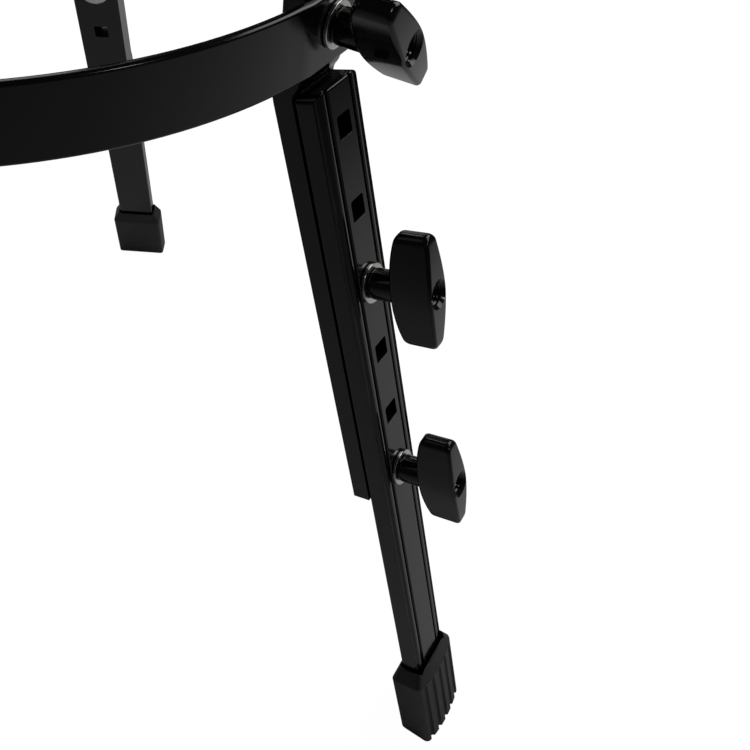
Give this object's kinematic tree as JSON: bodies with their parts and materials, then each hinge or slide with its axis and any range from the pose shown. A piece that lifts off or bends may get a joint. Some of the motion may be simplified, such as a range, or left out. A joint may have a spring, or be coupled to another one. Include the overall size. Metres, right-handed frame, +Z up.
{
  "type": "conga stand",
  "caption": "Basket stand that holds a conga off the floor: flat-bar legs with sliding extensions, two hoops, wing nuts and rubber feet.",
  "frame": {"origin": "on the floor, at the middle of the footprint's bounding box", "axes": "+Z up, +X towards leg 1, the leg with the wing nuts nearest the camera"},
  "size_m": [0.4546, 0.4778, 0.637],
  "materials": {
    "black_paint": "smooth black powder coat, satin to gloss",
    "black_nut_plating": "glossy black over cast metal",
    "zinc": "bright zinc plating",
    "black_rubber": "matte moulded rubber"
  },
  "bodies": {
    "stand": {"foot_1": "black_rubber", "foot_2": "black_rubber", "foot_3": "black_rubber", "height_lower_bolt_1": "zinc", "height_lower_bolt_2": "zinc", "height_lower_bolt_3": "zinc", "height_lower_washer_1": "zinc", "height_lower_washer_2": "zinc", "height_lower_washer_3": "zinc", "height_upper_bolt_1": "zinc", "height_upper_bolt_2": "zinc", "height_upper_bolt_3": "zinc", "height_upper_washer_1": "zinc", "height_upper_washer_2": "zinc", "height_upper_washer_3": "zinc", "leg_extension_1": "black_paint", "leg_extension_2": "black_paint", "leg_extension_3": "black_paint", "lower_hoop": "black_paint", "lower_hoop_bolt_1": "zinc", "lower_hoop_bolt_2": "zinc", "lower_hoop_bolt_3": "zinc", "lower_hoop_washer_1": "zinc", "lower_hoop_washer_2": "zinc", "lower_hoop_washer_3": "zinc", "main_leg_1": "black_paint", "main_leg_2": "black_paint", "main_leg_3": "black_paint", "top_cap_1": "black_rubber", "top_cap_2": "black_rubber", "top_cap_3": "black_rubber", "upper_hoop": "black_paint", "upper_hoop_bolt_1": "zinc", "upper_hoop_bolt_2": "zinc", "upper_hoop_bolt_3": "zinc", "upper_hoop_washer_1": "zinc", "upper_hoop_washer_2": "zinc", "upper_hoop_washer_3": "zinc"},
    "height_lower_wing_nut_1": {"height_lower_wing_nut_1": "black_nut_plating"},
    "height_lower_wing_nut_2": {"height_lower_wing_nut_2": "black_nut_plating"},
    "height_lower_wing_nut_3": {"height_lower_wing_nut_3": "black_nut_plating"},
    "height_upper_wing_nut_1": {"height_upper_wing_nut_1": "black_nut_plating"},
    "height_upper_wing_nut_2": {"height_upper_wing_nut_2": "black_nut_plating"},
    "height_upper_wing_nut_3": {"height_upper_wing_nut_3": "black_nut_plating"},
    "lower_hoop_wing_nut_1": {"lower_hoop_wing_nut_1": "black_nut_plating"},
    "lower_hoop_wing_nut_2": {"lower_hoop_wing_nut_2": "black_nut_plating"},
    "lower_hoop_wing_nut_3": {"lower_hoop_wing_nut_3": "black_nut_plating"},
    "upper_hoop_wing_nut_1": {"upper_hoop_wing_nut_1": "black_nut_plating"},
    "upper_hoop_wing_nut_2": {"upper_hoop_wing_nut_2": "black_nut_plating"},
    "upper_hoop_wing_nut_3": {"upper_hoop_wing_nut_3": "black_nut_plating"}
  },
  "joints": [
    {"name": "height_lower_nut_turn_1", "type": "hinge", "parent": "stand", "child": "height_lower_wing_nut_1", "pos_m": [0.17122, 0, 0.1817], "axis": [0.9583, 0, 0.2857], "continuous": true},
    {"name": "height_lower_nut_turn_2", "type": "hinge", "parent": "stand", "child": "height_lower_wing_nut_2", "pos_m": [-0.14655, 0.18346, 0.1817], "axis": [-0.4792, 0.8299, 0.2857], "continuous": true},
    {"name": "height_lower_nut_turn_3", "type": "hinge", "parent": "stand", "child": "height_lower_wing_nut_3", "pos_m": [-0.14655, -0.18346, 0.1817], "axis": [-0.4792, -0.8299, 0.2857], "continuous": true},
    {"name": "height_upper_nut_turn_1", "type": "hinge", "parent": "stand", "child": "height_upper_wing_nut_1", "pos_m": [0.1438, 0, 0.2737], "axis": [0.9583, 0, 0.2857], "continuous": true},
    {"name": "height_upper_nut_turn_2", "type": "hinge", "parent": "stand", "child": "height_upper_wing_nut_2", "pos_m": [-0.13284, 0.15971, 0.2737], "axis": [-0.4792, 0.8299, 0.2857], "continuous": true},
    {"name": "height_upper_nut_turn_3", "type": "hinge", "parent": "stand", "child": "height_upper_wing_nut_3", "pos_m": [-0.13284, -0.15971, 0.2737], "axis": [-0.4792, -0.8299, 0.2857], "continuous": true},
    {"name": "lower_hoop_nut_turn_1", "type": "hinge", "parent": "stand", "child": "lower_hoop_wing_nut_1", "pos_m": [0.11797, 0, 0.3681], "axis": [1, 0, 0], "continuous": true},
    {"name": "lower_hoop_nut_turn_2", "type": "hinge", "parent": "stand", "child": "lower_hoop_wing_nut_2", "pos_m": [-0.11993, 0.13735, 0.3681], "axis": [-0.5, 0.866, 0], "continuous": true},
    {"name": "lower_hoop_nut_turn_3", "type": "hinge", "parent": "stand", "child": "lower_hoop_wing_nut_3", "pos_m": [-0.11993, -0.13735, 0.3681], "axis": [-0.5, -0.866, 0], "continuous": true},
    {"name": "upper_hoop_nut_turn_1", "type": "hinge", "parent": "stand", "child": "upper_hoop_wing_nut_1", "pos_m": [0.14786, 0, 0.6011], "axis": [1, 0, 0], "continuous": true},
    {"name": "upper_hoop_nut_turn_2", "type": "hinge", "parent": "stand", "child": "upper_hoop_wing_nut_2", "pos_m": [-0.13487, 0.16324, 0.6011], "axis": [-0.5, 0.866, 0], "continuous": true},
    {"name": "upper_hoop_nut_turn_3", "type": "hinge", "parent": "stand", "child": "upper_hoop_wing_nut_3", "pos_m": [-0.13487, -0.16324, 0.6011], "axis": [-0.5, -0.866, 0], "continuous": true}
  ]
}
